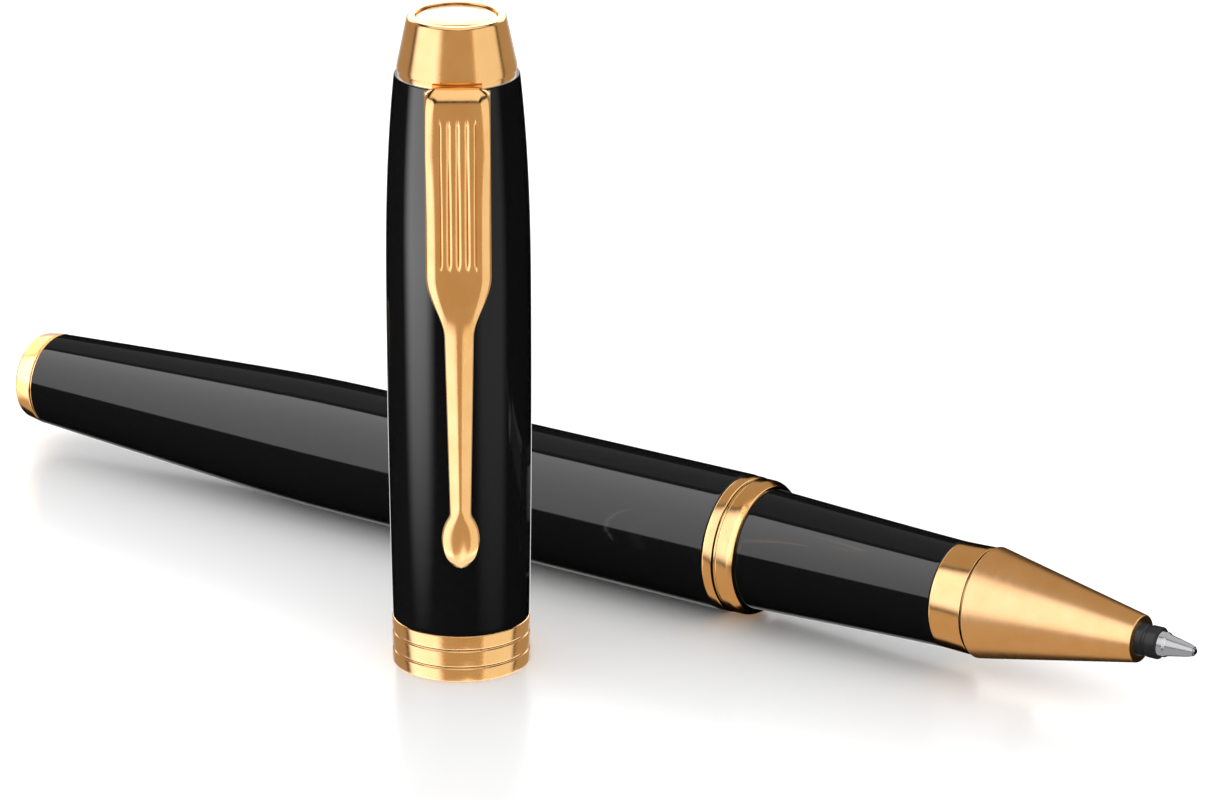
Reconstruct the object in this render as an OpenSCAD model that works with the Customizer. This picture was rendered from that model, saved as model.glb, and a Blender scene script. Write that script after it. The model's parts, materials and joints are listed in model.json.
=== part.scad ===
// Capped rollerball pen, cap off: the pen lies along X, nose towards +X, and the cap stands on its mouth.
// Origin: bottom centre of the whole arrangement. Lengths along the pen are counted from its tail end.

/* [Arrangement] */
// Distance of the cap's axis from the pen's tail end, along the pen
cap_along = 64.6; // [50:0.1:75]
// Distance of the cap's axis from the pen's axis, across the pen
cap_across = 23.1; // [20:0.1:40]
// Direction that the clip faces, turned from the nose direction
clip_facing = -54.8; // [-90:0.1:0]

/* [Barrel] */
// Length of the gold ring at the tail
tail_ring_len = 2.1; // [1.9:0.1:2.6]
// Length of the barrel's black tube
barrel_len = 76.2; // [74:0.1:80]
// Largest diameter of the barrel, at its mouth
barrel_d = 12.3; // [12.1:0.05:13]
// Diameter of the barrel at the tail ring
tail_d = 8.65; // [8.5:0.05:9.2]
// Length of the gold ring between barrel and section
ring_len = 3.0; // [2.4:0.1:4]
// Diameter of that ring
ring_d = 12.2; // [11.8:0.05:12.25]

/* [Section] */
// Length of the black gripping section
section_len = 19.3; // [18:0.1:24]
// Diameter of the section at the barrel end
section_d = 10.7; // [10.5:0.05:10.8]
// Diameter of the section at the nose end
section_front_d = 9.35; // [9.3:0.05:9.8]
// Length of the flared gold collar in front of the section
collar_len = 3.4; // [3:0.1:4.5]
// Length of the gold nose cone
cone_len = 15.0; // [14.5:0.1:18]
// Diameter of the cone at its base
cone_d = 9.85; // [9.6:0.05:10.2]
// Diameter of the cone at its front
cone_front_d = 4.06; // [3.9:0.02:4.4]

/* [Refill] */
// Diameter of the refill tube
refill_d = 6.2; // [6:0.05:6.3]
// Length of black tip collar that shows in front of the cone
tip_collar_len = 1.9; // [1.5:0.1:2.5]
// Length of the steel tip, ball included
tip_len = 3.4; // [3:0.1:4]
// Diameter of the writing ball
ball_d = 0.7; // [0.6:0.05:0.8]

/* [Cap] */
// Length of the whole cap
cap_len = 58.1; // [57:0.1:60]
// Largest diameter of the cap
cap_d = 12.4; // [12.3:0.05:13]
// Diameter of the cap's tube at its mouth
mouth_d = 11.85; // [11.8:0.05:12.2]
// Diameter of the cap's tube at its crown
shoulder_d = 10.7; // [10.6:0.05:11]
// Height of the gold band at the mouth
band_h = 4.2; // [3.4:0.1:5]
// Height of the gold crown
crown_h = 4.7; // [4.2:0.1:5.2]

/* [Clip] */
// Width of the clip's upper plate
clip_w = 5.5; // [4.6:0.1:5.8]
// Width of the clip's stem at its lower end
stem_w = 1.75; // [1.4:0.05:2.2]
// Width of the rounded pad at the clip's end
pad_w = 3.2; // [2.6:0.1:3.6]
// Thickness of the clip's metal
clip_t = 0.9; // [0.7:0.05:1]
// Distance of the clip's face from the cap's axis
clip_reach = 8.2; // [8:0.05:8.8]

/* [Hidden] */
$fn = 96;

// Stations along the pen, from the tail end
barrel_at = tail_ring_len;
ring_at = barrel_at + barrel_len;
section_at = ring_at + ring_len;
collar_at = section_at + section_len;
cone_at = collar_at + collar_len;
front_at = cone_at + cone_len;
tip_at = front_at + tip_collar_len;
pen_len = tip_at + tip_len;

gap = 0.05;          // running clearance, on the radius
bevel = 0.15;        // small edge bevel
curve_steps = 24;    // straight steps in a curved outline

// Barrel outline: a straight taper from the tail that eases into a nearly parallel body
tail_slope = 0.0575;
body_slope = 0.003;
body_blend = 0.25;
function soft_min(a, b, k) = (a + b - sqrt((a - b) * (a - b) + k * k)) / 2;
function barrel_r(s) = soft_min(
  tail_d / 2 + tail_slope * (s - barrel_at), barrel_d / 2 - body_slope * (ring_at - s), body_blend);

// Section outline: a slightly hollow taper towards the nose
section_hollow = 1.15;
function section_r(s) = section_front_d / 2
  + (section_d - section_front_d) / 2 * pow(1 - (s - section_at) / section_len, section_hollow);

// Bores, seats and stops inside the pen
tail_hole_r = 2;
stem_end = 6.8;
seat_at = 7.2;
seat_t = 0.9;
bore_r = 3.4;
barrel_wall = 0.8;
bush_len = 9;
thread_len = 6;
thread_r = 4.5;
coupler_grip = 7;
coupler_r = 4.2;
spigot_len = 6;
spigot_r = 4;
joint_groove = 0.25;
cone_seat_at = collar_at + 0.6;
bush_at = ring_at - bush_len;
bush_r = barrel_r(bush_at) - barrel_wall;

// Refill
refill_r = refill_d / 2;
refill_bore_r = refill_r - 0.3;
refill_at = 13.2;
stop_at = cone_at + 3.3;
neck_end = cone_at + 11.6;
neck_r = 1.75;
tip_collar_r = 1.4;
wick_r = 0.7;
wick_at = 92;
tip_root = front_at - 2;
ball_r = ball_d / 2;
ball_at = pen_len - ball_r;
socket_r = ball_r + 0.02;

// Tail spring
spring_r = 2.3;
wire_r = 0.25;
spring_turns = 6;
wire_sides = 8;
ring_steps = 12;

// Cap
bulge_at = 32;
tube_top = cap_len - crown_h - 0.4;
crown_at = cap_len - crown_h;
mouth_r = 5.5;
groove_r = 5.72;
liner_r = 5.3;
liner_bore_r = 4.95;
wrap_r = 5.72;
lip_h = 0.6;
mouth_bore_end = 6.5;
clutch_end = 9;
clutch_bore_r = 5.2;
step_at = 44;
step_r = 4.9;
shoulder_at = 50;
screw_r = 1.6;
crown_r = 5.12;
crown_top_r = 4.2;
disc_r = 3.45;

// Cap outline: widest at bulge_at, with a gentle curve down to the mouth and a fuller one up to the crown
crown_curve = 2.6;
function cap_r(z) = z < bulge_at
  ? cap_d / 2 - (cap_d - mouth_d) / 2 * pow((bulge_at - z) / (bulge_at - band_h), 2)
  : cap_d / 2 - (cap_d - shoulder_d) / 2 * pow((z - bulge_at) / (tube_top - bulge_at), crown_curve);

// Clip: heights of the changes in its width, and the axis on which its root bends
plate_low = 37.4;
stem_high = 32;
stem_low = 15.6;
pad_mid = 13.4;
pad_half = 2.6;
clip_root_x = 6.05;
clip_root_z = tube_top + 0.15;
knuckle_r = 0.42;

// Placement: the bounding box is centred on the origin
clip_low = clip_reach * sin(-clip_facing) + clip_w / 2 * cos(clip_facing);
pen_z = barrel_r(ring_at);
pen_y = (cap_across + clip_low - pen_z) / 2;
pen_x = -pen_len / 2;

module on_pen() {
  translate([pen_x, pen_y, pen_z])
    rotate([0, 90, 0])
      children();
}

module on_cap() {
  translate([pen_x + cap_along, pen_y - cap_across, 0])
    rotate([0, 0, clip_facing])
      children();
}

// A plain round sleeve between two stations; an inner radius of 0 makes it solid
module sleeve(from, to, outer, inner = 0) {
  translate([0, 0, from])
    difference() {
      cylinder(h = to - from, r = outer);
      if (inner > 0)
        translate([0, 0, -1])
          cylinder(h = to - from + 2, r = inner);
    }
}

// A bore to take away, between two stations
module bore(from, to, r) {
  translate([0, 0, from])
    cylinder(h = to - from, r = r);
}

// Barrel

// The tube's wall is even, except towards the tail, where it thickens round the spring and the plug's stem
module barrel_tube() {
  stations = [for (i = [0:curve_steps]) barrel_at + barrel_len * i / curve_steps];
  outside = [for (s = stations) [barrel_r(s), s]];
  inside = [for (i = [curve_steps:-1:0]) if (stations[i] < bush_at && stations[i] > seat_at)
    [max(bore_r, barrel_r(stations[i]) - barrel_wall), stations[i]]];
  color("black")
    on_pen()
      rotate_extrude()
        polygon(concat(
          [[tail_hole_r, barrel_at]], outside, [[bush_r, ring_at], [bush_r, bush_at]], inside,
          [[bore_r, seat_at], [tail_hole_r, seat_at]]));
}

module barrel_bush() {
  color("goldenrod")
    on_pen()
      difference() {
        sleeve(bush_at, ring_at - gap, bush_r);
        bore(bush_at - 1, ring_at, bore_r + 0.2);
        bore(ring_at - thread_len - 0.1, ring_at, thread_r + gap);
      }
}

module tail_ring() {
  ring_r = tail_d / 2;
  floor_at = barrel_at - 0.6;
  color("gold")
    on_pen()
      rotate_extrude()
        polygon([
          [3.2, 0], [ring_r - 0.45, 0], [ring_r - 0.2, bevel], [ring_r, barrel_at - bevel],
          [ring_r - bevel, barrel_at], [tail_hole_r, barrel_at], [tail_hole_r, floor_at], [3.2, floor_at]]);
}

module tail_plug() {
  head_at = 0.3;
  head_end = barrel_at - 0.6;
  color("black")
    on_pen()
      union() {
        sleeve(head_at, head_end, 3.15);
        sleeve(head_end, stem_end, tail_hole_r - gap);
      }
}

module spring_seat() {
  color("goldenrod")
    on_pen()
      difference() {
        union() {
          sleeve(seat_at, seat_at + seat_t, bore_r - 0.02);
          sleeve(seat_at + seat_t, seat_at + 2 * seat_t, spring_r - wire_r - 0.35);
        }
        bore(seat_at - 1, seat_at + 3, 0.9);
      }
}

// Round wire wound about Z from z = low to z = high
module coil_spring(low, high) {
  rings = spring_turns * ring_steps;
  points = [for (i = [0:rings], k = [0:wire_sides - 1])
    let (turn = 360 * i / ring_steps)
    let (around = 360 * k / wire_sides)
    let (r = spring_r + wire_r * cos(around))
    [r * cos(turn), r * sin(turn), low + (high - low) * i / rings + wire_r * sin(around)]];
  sides = [for (i = [0:rings - 1], k = [0:wire_sides - 1])
    let (a = i * wire_sides + k)
    let (b = i * wire_sides + (k + 1) % wire_sides)
    [a, a + wire_sides, b + wire_sides, b]];
  first = [for (k = [0:wire_sides - 1]) k];
  last = [for (k = [wire_sides - 1:-1:0]) rings * wire_sides + k];
  polyhedron(points, concat(sides, [first, last]));
}

module tail_spring() {
  margin = wire_r + 0.03;
  color("silver")
    on_pen()
      coil_spring(seat_at + seat_t + margin, refill_at - margin);
}

module centre_ring() {
  ring_r = ring_d / 2;
  groove_at = ring_at + ring_len * 0.36;
  color("gold")
    on_pen()
      rotate_extrude()
        polygon([
          [thread_r + gap, ring_at], [ring_r - bevel, ring_at], [ring_r, ring_at + bevel],
          [ring_r, groove_at - bevel], [ring_r - 0.25, groove_at], [ring_r - 0.25, groove_at + 0.2],
          [ring_r - 0.05, groove_at + 0.2 + bevel], [ring_r - 0.05, section_at - 0.7],
          [ring_r - 0.35, section_at], [thread_r + gap, section_at]]);
}

// Section

module section_tube() {
  outline = [for (i = [0:curve_steps])
    let (s = section_at + section_len * i / curve_steps)
    [section_r(s), s]];
  color("black")
    on_pen()
      difference() {
        rotate_extrude()
          polygon(concat([[0, section_at]], outline, [[0, collar_at]]));
        bore(section_at - 1, collar_at + 1, bore_r);
        bore(section_at - 1, section_at + coupler_grip, coupler_r);
        bore(collar_at - spigot_len, collar_at + 1, spigot_r);
      }
}

module section_coupler() {
  color("goldenrod")
    on_pen()
      difference() {
        union() {
          sleeve(ring_at - thread_len, section_at, thread_r);
          sleeve(section_at, section_at + coupler_grip, coupler_r);
        }
        bore(ring_at - thread_len - 1, section_at + coupler_grip + 1, bore_r);
      }
}

module nose_collar() {
  back_r = section_front_d / 2;
  color("gold")
    on_pen()
      difference() {
        union() {
          sleeve(collar_at - spigot_len, collar_at, spigot_r);
          rotate_extrude()
            polygon([
              [0, collar_at], [back_r, collar_at], [cone_d / 2 - bevel, cone_at - joint_groove - bevel],
              [cone_d / 2 - 2 * bevel, cone_at - joint_groove], [0, cone_at - joint_groove]]);
        }
        bore(collar_at - spigot_len - 1, cone_at, bore_r);
        bore(cone_seat_at, cone_at, spigot_r);
      }
}

module nose_cone() {
  color("gold")
    on_pen()
      difference() {
        union() {
          sleeve(cone_seat_at, cone_at, spigot_r);
          rotate_extrude()
            polygon([
              [0, cone_at], [cone_d / 2 - bevel, cone_at], [cone_d / 2, cone_at + bevel],
              [cone_front_d / 2 + 0.06, front_at - bevel], [cone_front_d / 2 - bevel, front_at],
              [0, front_at]]);
        }
        bore(cone_seat_at - 1, stop_at, bore_r);
        bore(cone_seat_at - 1, neck_end + 0.4, neck_r + 0.25);
        bore(cone_seat_at - 1, front_at + 1, tip_collar_r + gap);
      }
}

// Refill

module refill_tube() {
  color("gray")
    on_pen()
      sleeve(refill_at + 1.6, stop_at - 0.35, refill_r, refill_bore_r);
}

module refill_end_plug() {
  color("dimgray")
    on_pen()
      difference() {
        union() {
          sleeve(refill_at, refill_at + 1.6, refill_r);
          sleeve(refill_at + 1.6, refill_at + 3.6, refill_bore_r);
        }
        bore(refill_at - 1, refill_at + 5, 0.3);
      }
}

module ink_reservoir() {
  color("midnightblue")
    on_pen()
      difference() {
        sleeve(refill_at + 3.7, stop_at - 7.5, refill_bore_r - 0.02);
        bore(wick_at - 0.1, stop_at, wick_r + gap);
      }
}

module ink_feed() {
  color("white")
    on_pen()
      sleeve(wick_at, tip_root, wick_r);
}

module refill_nose() {
  color("dimgray")
    on_pen()
      difference() {
        union() {
          sleeve(stop_at - 7.3, stop_at - 0.35, refill_bore_r);
          sleeve(stop_at - 0.35, stop_at - gap, refill_r);
          sleeve(stop_at - gap, neck_end, neck_r);
        }
        bore(stop_at - 8, neck_end + 1, wick_r + gap);
      }
}

module refill_collar() {
  color("black")
    on_pen()
      difference() {
        union() {
          sleeve(neck_end, tip_at - bevel, tip_collar_r);
          translate([0, 0, tip_at - bevel])
            cylinder(h = bevel, r1 = tip_collar_r, r2 = tip_collar_r - bevel);
        }
        bore(neck_end - 1, tip_root, wick_r + gap);
        bore(tip_root, tip_at + 1, 0.95);
      }
}

module refill_tip() {
  lip_at = ball_at + 0.12;
  color("silver")
    on_pen()
      difference() {
        union() {
          sleeve(tip_root, tip_at, 0.95);
          rotate_extrude()
            polygon([
              [0, tip_at], [1.1, tip_at], [1.1, tip_at + 0.5], [0.95, tip_at + 0.8],
              [ball_r + 0.09, lip_at], [0, lip_at]]);
        }
        bore(tip_root - 1, ball_at, 0.25);
        translate([0, 0, ball_at])
          sphere(r = socket_r);
        bore(ball_at, pen_len + 1, ball_r - 0.01);
      }
}

module refill_ball() {
  color("silver")
    on_pen()
      translate([0, 0, ball_at])
        sphere(r = ball_r);
}

// Cap

module cap_tube() {
  outline = [for (i = [0:curve_steps])
    let (z = band_h + (tube_top - band_h) * i / curve_steps)
    [cap_r(z), z]];
  color("black")
    on_cap()
      difference() {
        rotate_extrude()
          polygon(concat([[0, lip_h], [wrap_r, lip_h], [wrap_r, band_h]], outline, [[0, tube_top]]));
        bore(lip_h - 1, mouth_bore_end, mouth_r);
        bore(mouth_bore_end, clutch_end, groove_r);
        bore(clutch_end - 1, step_at, liner_r);
        bore(step_at - 1, shoulder_at, step_r);
        bore(shoulder_at - 1, tube_top + 1, screw_r + gap);
      }
}

module cap_band() {
  band_r = mouth_d / 2 + 0.06;
  groove = 0.16;
  color("gold")
    on_cap()
      rotate_extrude()
        polygon(concat(
          [[mouth_r, 0], [band_r - bevel, 0], [band_r, bevel]],
          [for (at = [0.3, 0.68], turn = [0:2])
            [turn == 1 ? band_r - groove : band_r, band_h * at + groove * (turn - 1)]],
          [[band_r, band_h - bevel], [band_r - bevel, band_h], [wrap_r, band_h], [wrap_r, lip_h],
            [mouth_r, lip_h]]));
}

module inner_cap() {
  top = shoulder_at - 2.2;
  color("dimgray")
    on_cap()
      difference() {
        union() {
          sleeve(14, step_at, liner_r);
          sleeve(step_at, top, step_r);
        }
        bore(13, step_at - 0.8, liner_bore_r);
        bore(step_at - 1, step_at + 2, liner_bore_r - 0.75);
      }
}

module clutch_ring() {
  slot = 1.5;
  color("silver")
    on_cap()
      difference() {
        sleeve(mouth_bore_end + gap, clutch_end - gap, groove_r - 0.02, clutch_bore_r);
        translate([-groove_r - 1, -slot / 2, mouth_bore_end - 1])
          cube([groove_r, slot, 5]);
      }
}

module cap_screw() {
  head_r = 2.6;
  head_at = shoulder_at - 1.8;
  color("silver")
    on_cap()
      difference() {
        union() {
          sleeve(head_at, shoulder_at, head_r);
          sleeve(shoulder_at, crown_at + 3.1, screw_r);
        }
        translate([-head_r - 1, -0.35, head_at - 1])
          cube([2 * head_r + 2, 0.7, 1.7]);
      }
}

module clip_washer() {
  tab_w = 4.2;
  color("gold")
    on_cap()
      difference() {
        union() {
          sleeve(tube_top, crown_at, 5);
          translate([3, -tab_w / 2, tube_top])
            cube([clip_root_x - knuckle_r - 0.08 - 3, tab_w, crown_at - tube_top]);
        }
        bore(tube_top - 1, crown_at + 1, screw_r + gap);
      }
}

module cap_crown() {
  color("gold")
    on_cap()
      difference() {
        rotate_extrude()
          polygon([
            [0, crown_at], [crown_r - bevel, crown_at], [crown_r, crown_at + bevel],
            [crown_top_r + 0.04, cap_len - 0.3], [crown_top_r - 0.3, cap_len], [0, cap_len]]);
        bore(crown_at - 1, crown_at + 3.3, screw_r + gap);
        bore(cap_len - 0.6, cap_len + 1, disc_r + 0.02);
      }
}

module crown_disc() {
  color("gold")
    on_cap()
      union() {
        sleeve(cap_len - 0.6, cap_len - 0.2, disc_r);
        translate([0, 0, cap_len - 0.2])
          cylinder(h = 0.15, r1 = disc_r, r2 = disc_r - 0.15);
      }
}

// Clip

// Points of a quadratic curve from a, pulled towards b, to c
function bend(a, b, c, steps = 8) = [for (i = [0:steps])
  let (t = i / steps)
  a * (1 - t) * (1 - t) + b * 2 * t * (1 - t) + c * t * t];

// Half the clip's width at a height
function ease(t) = t * t * (3 - 2 * t);
function stem_half(z) = stem_w / 2 + 0.35 * (z - stem_low) / (stem_high - stem_low);
function pad_half_w(z) = pad_w / 2 * sqrt(max(0, 1 - pow((z - pad_mid) / pad_half, 2)));
function clip_half_w(z) = z > plate_low ? clip_w / 2
  : z > stem_high ? stem_half(z) + (clip_w / 2 - stem_half(z)) * ease((z - stem_high) / (plate_low - stem_high))
  : z > pad_mid ? max(stem_half(z), pad_half_w(z))
  : pad_half_w(z);

// The clip seen from the side: face outside, then round the tip and back up the inside
module clip_side() {
  pad_face = cap_r(pad_mid) + 1.25;
  pad_back = cap_r(pad_mid) + 0.08;
  tip_z = pad_mid - pad_half;
  face_x = clip_reach;
  polygon(concat(
    bend([clip_root_x, clip_root_z + knuckle_r], [face_x - 0.1, clip_root_z + 0.35], [face_x, plate_low + 11]),
    bend([face_x, plate_low], [face_x - 0.15, stem_high - 4], [pad_face, pad_mid + pad_half]),
    bend([pad_face + 0.1, pad_mid + 0.6], [pad_face, tip_z], [pad_back + 0.35, tip_z]),
    [[pad_back, tip_z + 0.4], [pad_back, pad_mid + 0.8]],
    bend([pad_back + 0.2, pad_mid + pad_half + 0.6], [face_x - clip_t - 0.05, stem_high - 4],
      [face_x - clip_t, plate_low]),
    bend([face_x - clip_t, plate_low + 10], [face_x - clip_t - 0.1, clip_root_z - 0.6],
      [clip_root_x, clip_root_z - knuckle_r])));
}

// The clip seen from the front, as a height and a half width on each side
module clip_front() {
  low = pad_mid - pad_half;
  high = clip_root_z + 1;
  steps = 60;
  heights = [for (i = [0:steps]) low + (high - low) * i / steps];
  polygon(concat(
    [for (z = heights) [clip_half_w(z), z]],
    [for (i = [steps:-1:0]) [-clip_half_w(heights[i]), heights[i]]]));
}

module clip() {
  color("gold")
    on_cap()
      union() {
        intersection() {
          translate([0, clip_w / 2 + 1, 0])
            rotate([90, 0, 0])
              linear_extrude(clip_w + 2)
                clip_side();
          rotate([90, 0, 90])
            linear_extrude(clip_reach + 2)
              clip_front();
        }
        translate([clip_root_x, clip_w / 2 - 0.5, clip_root_z])
          rotate([90, 0, 0])
            cylinder(h = clip_w - 1, r = knuckle_r);
      }
}

barrel_tube();
barrel_bush();
tail_ring();
tail_plug();
spring_seat();
tail_spring();
centre_ring();
section_tube();
section_coupler();
nose_collar();
nose_cone();
refill_tube();
refill_end_plug();
ink_reservoir();
ink_feed();
refill_nose();
refill_collar();
refill_tip();
refill_ball();
cap_tube();
cap_band();
inner_cap();
clutch_ring();
cap_screw();
clip_washer();
cap_crown();
crown_disc();
clip();
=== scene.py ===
"""A rollerball pen lies uncapped on a white studio floor, with its cap standing in front of it.

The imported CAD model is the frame. The pieces that show are turned, swept and threaded here at the CAD's
own places and sizes; the rest are the CAD nodes with better materials. The pen and the cap each have a
Line, and along it everything is in millimetres.
"""

import json
import math

import bmesh
import bpy
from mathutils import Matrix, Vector

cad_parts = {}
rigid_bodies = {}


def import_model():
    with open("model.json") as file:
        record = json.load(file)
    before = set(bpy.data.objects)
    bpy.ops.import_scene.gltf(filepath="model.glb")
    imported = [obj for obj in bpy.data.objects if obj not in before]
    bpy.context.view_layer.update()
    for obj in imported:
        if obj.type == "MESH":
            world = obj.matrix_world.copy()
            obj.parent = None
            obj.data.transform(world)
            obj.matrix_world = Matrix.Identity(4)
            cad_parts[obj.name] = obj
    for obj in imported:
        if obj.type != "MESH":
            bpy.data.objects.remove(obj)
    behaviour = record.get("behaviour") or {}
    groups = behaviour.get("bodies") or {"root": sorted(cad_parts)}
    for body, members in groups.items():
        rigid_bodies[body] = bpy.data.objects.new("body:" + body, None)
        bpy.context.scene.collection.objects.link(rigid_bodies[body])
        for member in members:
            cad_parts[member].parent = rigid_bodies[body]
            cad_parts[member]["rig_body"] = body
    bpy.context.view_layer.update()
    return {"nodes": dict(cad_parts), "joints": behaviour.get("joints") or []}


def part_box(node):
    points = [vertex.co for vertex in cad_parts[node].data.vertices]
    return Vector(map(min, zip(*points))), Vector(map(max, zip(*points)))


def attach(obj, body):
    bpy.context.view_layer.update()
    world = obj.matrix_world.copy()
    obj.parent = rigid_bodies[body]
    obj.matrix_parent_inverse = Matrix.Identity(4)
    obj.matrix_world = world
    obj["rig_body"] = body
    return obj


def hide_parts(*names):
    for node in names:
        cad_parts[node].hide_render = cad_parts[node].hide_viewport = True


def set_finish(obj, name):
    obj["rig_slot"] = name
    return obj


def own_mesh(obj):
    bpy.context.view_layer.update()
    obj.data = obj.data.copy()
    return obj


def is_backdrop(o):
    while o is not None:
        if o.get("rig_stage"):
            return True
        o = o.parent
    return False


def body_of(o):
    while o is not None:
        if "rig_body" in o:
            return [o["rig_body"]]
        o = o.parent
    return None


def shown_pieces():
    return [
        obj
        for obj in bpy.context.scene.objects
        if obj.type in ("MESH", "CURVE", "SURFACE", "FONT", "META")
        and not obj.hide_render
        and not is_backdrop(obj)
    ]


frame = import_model()

MM = 0.001
TURN = 2 * math.pi
QUARTER = math.pi / 2


# ---------------------------------------------------------------- places, from the frame


class Line:
    """A straight axis that round pieces are turned about. Stations and radii along it are in millimetres."""

    def __init__(self, start, along, zero):
        self.start = Vector(start)
        self.along = Vector(along).normalized()
        self.zero = Vector(zero).normalized()
        self.side = self.along.cross(self.zero)

    def point(self, station, radius, angle=0.0):
        out = self.zero * math.cos(angle) + self.side * math.sin(angle)
        return self.start + (self.along * station + out * radius) * MM

    def place(self, forward, sideways, station):
        return self.start + (self.zero * forward + self.side * sideways + self.along * station) * MM

    def measure(self, point):
        """A point's station and its distance from the axis."""
        offset = (Vector(point) - self.start) / MM
        station = offset.dot(self.along)
        return station, (offset - self.along * station).length

    def reach(self, node):
        """A node's first and last station and its largest radius."""
        measured = [self.measure(v.co) for v in frame["nodes"][node].data.vertices]
        stations = [station for station, _ in measured]
        return min(stations), max(stations), max(radius for _, radius in measured)


def joint(name):
    return next(j for j in frame["joints"] if j["name"] == name)


def middle(node):
    low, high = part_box(node)
    return (low + high) / 2


tail_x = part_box("tail_ring")[0].x
barrel_middle = middle("barrel_tube")
PEN = Line((tail_x, barrel_middle.y, barrel_middle.z), (1, 0, 0), (0, 0, 1))

cap_middle = middle("cap_tube")
flex_axis = Vector(joint("clip_flex")["axis"])
CAP = Line((cap_middle.x, cap_middle.y, 0), (0, 0, 1), flex_axis.cross((0, 0, 1)) * -1)


# ---------------------------------------------------------------- outlines


def ease(low, high, value):
    """0 below low, 1 above high, and smooth between."""
    t = min(1.0, max(0.0, (value - low) / (high - low)))
    return t * t * (3 - 2 * t)


def bend(a, b, c, steps=8):
    """Points of a quadratic curve from a, pulled towards b, to c."""
    a, b, c = Vector(a), Vector(b), Vector(c)
    fractions = [i / steps for i in range(steps + 1)]
    return [a * (1 - t) ** 2 + b * 2 * t * (1 - t) + c * t * t for t in fractions]


def rounded(corners, steps=5):
    """An outline with its corners rounded. Each corner is (station, radius, rounding)."""
    points = []
    count = len(corners)
    for i, (station, radius, rounding) in enumerate(corners):
        here = Vector((station, radius))
        if rounding <= 0:
            points.append(here)
            continue
        before = (Vector(corners[i - 1][:2]) - here).normalized()
        after = (Vector(corners[(i + 1) % count][:2]) - here).normalized()
        points += bend(here + before * rounding, here, here + after * rounding, steps)
    return points


def cad_outline(line, node):
    """(station, radius) pairs down the outside of a CAD node, from its own vertices."""
    widest = {}
    for vertex in frame["nodes"][node].data.vertices:
        station, radius = line.measure(vertex.co)
        key = round(station, 2)
        widest[key] = max(widest.get(key, 0.0), radius)
    points = sorted(widest.items())
    hidden_step = 0.15
    kept = []
    for i, (station, radius) in enumerate(points):
        near = [points[k][1] for k in (i - 1, i + 1) if 0 <= k < len(points)]
        if radius > min(near) - hidden_step:
            kept.append(Vector((station, radius)))
    return kept


def catmull_rom(a, b, c, d, t):
    """The point at t from b to c, on the smooth curve through all four."""
    linear = (c - a) * t
    square = (a * 2 - b * 5 + c * 4 - d) * t**2
    cube = (b * 3 - a - c * 3 + d) * t**3
    return (b * 2 + linear + square + cube) / 2


def even_rows(curve, spacing):
    """The curve in rows of one spacing, so that a piece turned from it shades evenly."""
    first, last = curve[0].x, curve[-1].x
    count = round((last - first) / spacing)
    rows = []
    k = 0
    for i in range(count + 1):
        at = first + (last - first) * i / count
        while k < len(curve) - 2 and curve[k + 1].x < at:
            k += 1
        a, b = curve[k], curve[k + 1]
        rows.append(a.lerp(b, (at - a.x) / (b.x - a.x)))
    return rows


def smooth(points, spacing=0.5, steps=12):
    """A smooth curve through the points, in even rows."""
    curve = []
    for i in range(len(points) - 1):
        before, after = points[max(i - 1, 0)], points[min(i + 2, len(points) - 1)]
        curve += [catmull_rom(before, points[i], points[i + 1], after, k / steps) for k in range(steps)]
    curve.append(points[-1])
    return even_rows(curve, spacing)


# ---------------------------------------------------------------- building

CREASE = math.radians(42)
ON_AXIS = 1e-4


def finish_mesh(mesh, name, body, slot_name, material, stands_for):
    """Turns a bmesh into a shaded piece that rides on a body and stands for CAD nodes."""
    bmesh.ops.recalc_face_normals(mesh, faces=mesh.faces)
    data = bpy.data.meshes.new(name)
    mesh.to_mesh(data)
    mesh.free()
    data.shade_smooth()
    data.set_sharp_from_angle(angle=CREASE)
    data.materials.append(material)
    piece = bpy.data.objects.new(name, data)
    bpy.context.scene.collection.objects.link(piece)
    weighted = piece.modifiers.new("even shading", "WEIGHTED_NORMAL")
    weighted.keep_sharp = True
    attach(piece, body)
    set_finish(piece, slot_name)
    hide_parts(*stands_for)
    return piece


def skin(mesh, rows, closed_rows):
    """Joins rows of vertices with quads, or with a fan where a row is a single vertex."""
    pairs = list(zip(rows, rows[1:]))
    if closed_rows:
        pairs.append((rows[-1], rows[0]))
    for a, b in pairs:
        count = max(len(a), len(b))
        for i in range(count):
            k = (i + 1) % count
            if len(a) == 1:
                corners = (a[0], b[k], b[i])
            elif len(b) == 1:
                corners = (a[i], a[k], b[0])
            else:
                corners = (a[i], a[k], b[k], b[i])
            mesh.faces.new(corners)


def lathe(name, line, outline, body, slot_name, material, stands_for, sides=128, wave=None):
    """A solid of revolution. The outline is closed, unless it starts and ends on the axis.

    wave(station, angle) may add to the radius, as a thread does.
    """
    mesh = bmesh.new()
    rows = []
    for station, radius in outline:
        if radius < ON_AXIS:
            rows.append([mesh.verts.new(line.point(station, 0))])
            continue
        ring = []
        for i in range(sides):
            angle = TURN * i / sides
            extra = wave(station, angle) if wave else 0
            ring.append(mesh.verts.new(line.point(station, radius + extra, angle)))
        rows.append(ring)
    skin(mesh, rows, closed_rows=len(rows[0]) > 1)
    finish_mesh(mesh, name, body, slot_name, material, stands_for)


# ---------------------------------------------------------------- materials

# Blender's noise pattern mostly lies between these
NOISE_LOW, NOISE_HIGH = 0.3, 0.7


def new_material(name, color, **sockets):
    """A Principled material; returns it with its node tree and shader node."""
    material = bpy.data.materials.new(name)
    material.use_nodes = True
    tree = material.node_tree
    shader = tree.nodes["Principled BSDF"]
    shader.inputs["Base Color"].default_value = (*color, 1)
    for socket, value in sockets.items():
        shader.inputs[socket.replace("_", " ")].default_value = value
    return material, tree, shader


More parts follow.
